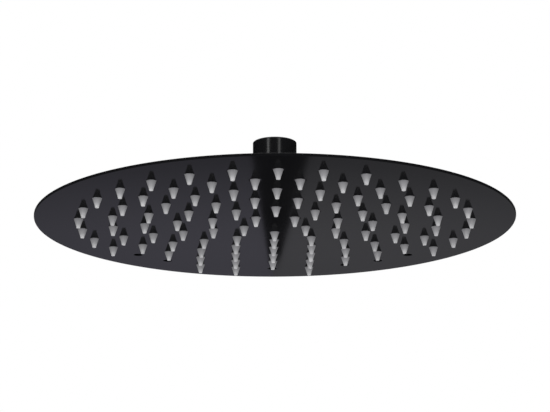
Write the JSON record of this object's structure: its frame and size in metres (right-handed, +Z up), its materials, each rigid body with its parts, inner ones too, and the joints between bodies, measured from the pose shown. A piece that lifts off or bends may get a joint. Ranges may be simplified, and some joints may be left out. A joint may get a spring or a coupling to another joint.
{
  "type": "rain shower head",
  "caption": "Round flat overhead shower head with soft tapered nozzles in rings, hung from a threaded inlet by a ball swivel that tilts and turns.",
  "frame": {"origin": "centre of the inlet thread's mouth", "axes": "+Z up out of the inlet towards the supply pipe, +Y away from the viewer, +X to the viewer's right"},
  "size_m": [0.3, 0.3, 0.0593],
  "materials": {
    "black_coat": "satin",
    "silicone": "matte",
    "black_rubber": "matte",
    "hard_plastic": "matte",
    "steel": "satin"
  },
  "bodies": {
    "inlet": {"connector": "black_coat", "inlet_washer": "black_rubber", "filter_screen": "steel", "ball_seal": "black_rubber", "collar_nut": "black_coat"},
    "ring": {"friction_ring": "hard_plastic"},
    "head": {"back_shell": "black_coat", "face_plate": "black_coat", "nozzles_ring_1": "silicone", "nozzles_ring_2": "silicone", "nozzles_ring_3": "silicone", "nozzles_ring_4": "silicone", "nozzles_ring_5": "silicone", "nozzles_ring_6": "silicone"}
  },
  "joints": [
    {"name": "swivel", "type": "hinge", "parent": "inlet", "child": "ring", "pos_m": [0, 0, -0.0245], "axis": [0, 0, 1], "continuous": true},
    {"name": "tilt", "type": "hinge", "parent": "ring", "child": "head", "pos_m": [0, 0, -0.0245], "axis": [1, 0, 0], "range_deg": [-15, 15]}
  ]
}
